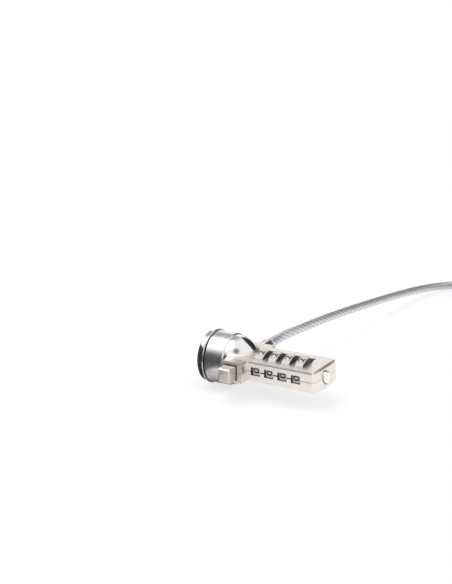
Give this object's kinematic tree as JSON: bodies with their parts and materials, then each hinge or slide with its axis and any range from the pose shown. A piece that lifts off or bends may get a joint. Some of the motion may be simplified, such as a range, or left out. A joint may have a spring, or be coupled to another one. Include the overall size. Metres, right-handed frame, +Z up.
{
  "type": "laptop cable lock",
  "caption": "Notebook cable lock: flat body with number dials, round swivel nose with a T-bar for a security slot, side push button, and a jacketed steel cable ending in an eye.",
  "frame": {"origin": "middle of the security slot on the notebook's outer face, on the barrel's axis", "axes": "+X along the barrel away from the notebook, +Y towards the cable's side, +Z up"},
  "size_m": [0.1148, 0.2612, 0.0251],
  "materials": {
    "polished": "polished",
    "satin_steel": "satin",
    "nickel": "satin nickel plate",
    "steel": "ground",
    "hard_steel": "hardened",
    "spring_steel": "drawn wire",
    "dial_plate": "plated, black digits",
    "brass": "machined",
    "pad": "matt",
    "jacket": "clear jacket over twisted strands",
    "crimp": "crimped"
  },
  "bodies": {
    "housing": {"barrel_band": "satin_steel", "dome_cap": "polished", "upper_shell": "nickel", "lower_shell": "nickel", "housing_screws": "steel", "detent_spring": "spring_steel", "anchor_pin": "steel", "pin_spring": "spring_steel", "spindle_spring": "spring_steel", "sleeve_spring": "spring_steel"},
    "nose": {"nose_ring": "polished", "face_pad": "pad", "t_bar": "hard_steel", "snap_ring": "spring_steel"},
    "pins": {"pin_carrier": "hard_steel"},
    "button": {"push_button": "nickel"},
    "spindle": {"code_spindle": "steel"},
    "reset": {"reset_button": "nickel"},
    "cable": {"cable_anchor": "steel", "cable_run": "jacket", "cable_coil": "jacket", "end_loop": "jacket", "end_ferrule": "crimp"},
    "dial_1": {"number_wheel_1": "dial_plate"},
    "sleeve_1": {"code_sleeve_1": "brass"},
    "dial_2": {"number_wheel_2": "dial_plate"},
    "sleeve_2": {"code_sleeve_2": "brass"},
    "dial_3": {"number_wheel_3": "dial_plate"},
    "sleeve_3": {"code_sleeve_3": "brass"},
    "dial_4": {"number_wheel_4": "dial_plate"},
    "sleeve_4": {"code_sleeve_4": "brass"}
  },
  "joints": [
    {"name": "nose_swivel", "type": "hinge", "parent": "housing", "child": "nose", "pos_m": [0, 0, 0], "axis": [1, 0, 0], "continuous": true},
    {"name": "button_press", "type": "slide", "parent": "housing", "child": "button", "axis": [0, 1, 0], "range_m": [0, 0.003], "stiffness_N_per_m": 900, "springref_m": -0.001},
    {"name": "pin_retract", "type": "slide", "parent": "nose", "child": "pins", "axis": [1, 0, 0], "range_m": [0, 0.0022], "deforming": ["pin_spring"]},
    {"name": "spindle_shift", "type": "slide", "parent": "housing", "child": "spindle", "axis": [1, 0, 0], "range_m": [0, 0.0022], "deforming": ["spindle_spring"]},
    {"name": "reset_press", "type": "slide", "parent": "housing", "child": "reset", "axis": [-1, 0, 0], "range_m": [0, 0.0012], "stiffness_N_per_m": 900, "springref_m": -0.001, "deforming": ["sleeve_spring"]},
    {"name": "cable_swing", "type": "hinge", "parent": "housing", "child": "cable", "pos_m": [0.0194, 0.0102, 0.0012], "axis": [0, 0, 1], "range_deg": [-18, 6]},
    {"name": "dial_1_turn", "type": "hinge", "parent": "housing", "child": "dial_1", "pos_m": [0, -0.001, 0], "axis": [1, 0, 0], "continuous": true},
    {"name": "sleeve_1_shift", "type": "slide", "parent": "dial_1", "child": "sleeve_1", "axis": [-1, 0, 0], "range_m": [0, 0.0012]},
    {"name": "dial_2_turn", "type": "hinge", "parent": "housing", "child": "dial_2", "pos_m": [0, -0.001, 0], "axis": [1, 0, 0], "continuous": true},
    {"name": "sleeve_2_shift", "type": "slide", "parent": "dial_2", "child": "sleeve_2", "axis": [-1, 0, 0], "range_m": [0, 0.0012]},
    {"name": "dial_3_turn", "type": "hinge", "parent": "housing", "child": "dial_3", "pos_m": [0, -0.001, 0], "axis": [1, 0, 0], "continuous": true},
    {"name": "sleeve_3_shift", "type": "slide", "parent": "dial_3", "child": "sleeve_3", "axis": [-1, 0, 0], "range_m": [0, 0.0012]},
    {"name": "dial_4_turn", "type": "hinge", "parent": "housing", "child": "dial_4", "pos_m": [0, -0.001, 0], "axis": [1, 0, 0], "continuous": true},
    {"name": "sleeve_4_shift", "type": "slide", "parent": "dial_4", "child": "sleeve_4", "axis": [-1, 0, 0], "range_m": [0, 0.0012]}
  ],
  "couplings": [
    {"joint": "pin_retract", "follows": "button_press", "ratio": 0.73333},
    {"joint": "spindle_shift", "follows": "button_press", "ratio": 0.73333},
    {"joint": "sleeve_1_shift", "follows": "reset_press", "ratio": 1},
    {"joint": "sleeve_2_shift", "follows": "reset_press", "ratio": 1},
    {"joint": "sleeve_3_shift", "follows": "reset_press", "ratio": 1},
    {"joint": "sleeve_4_shift", "follows": "reset_press", "ratio": 1}
  ]
}
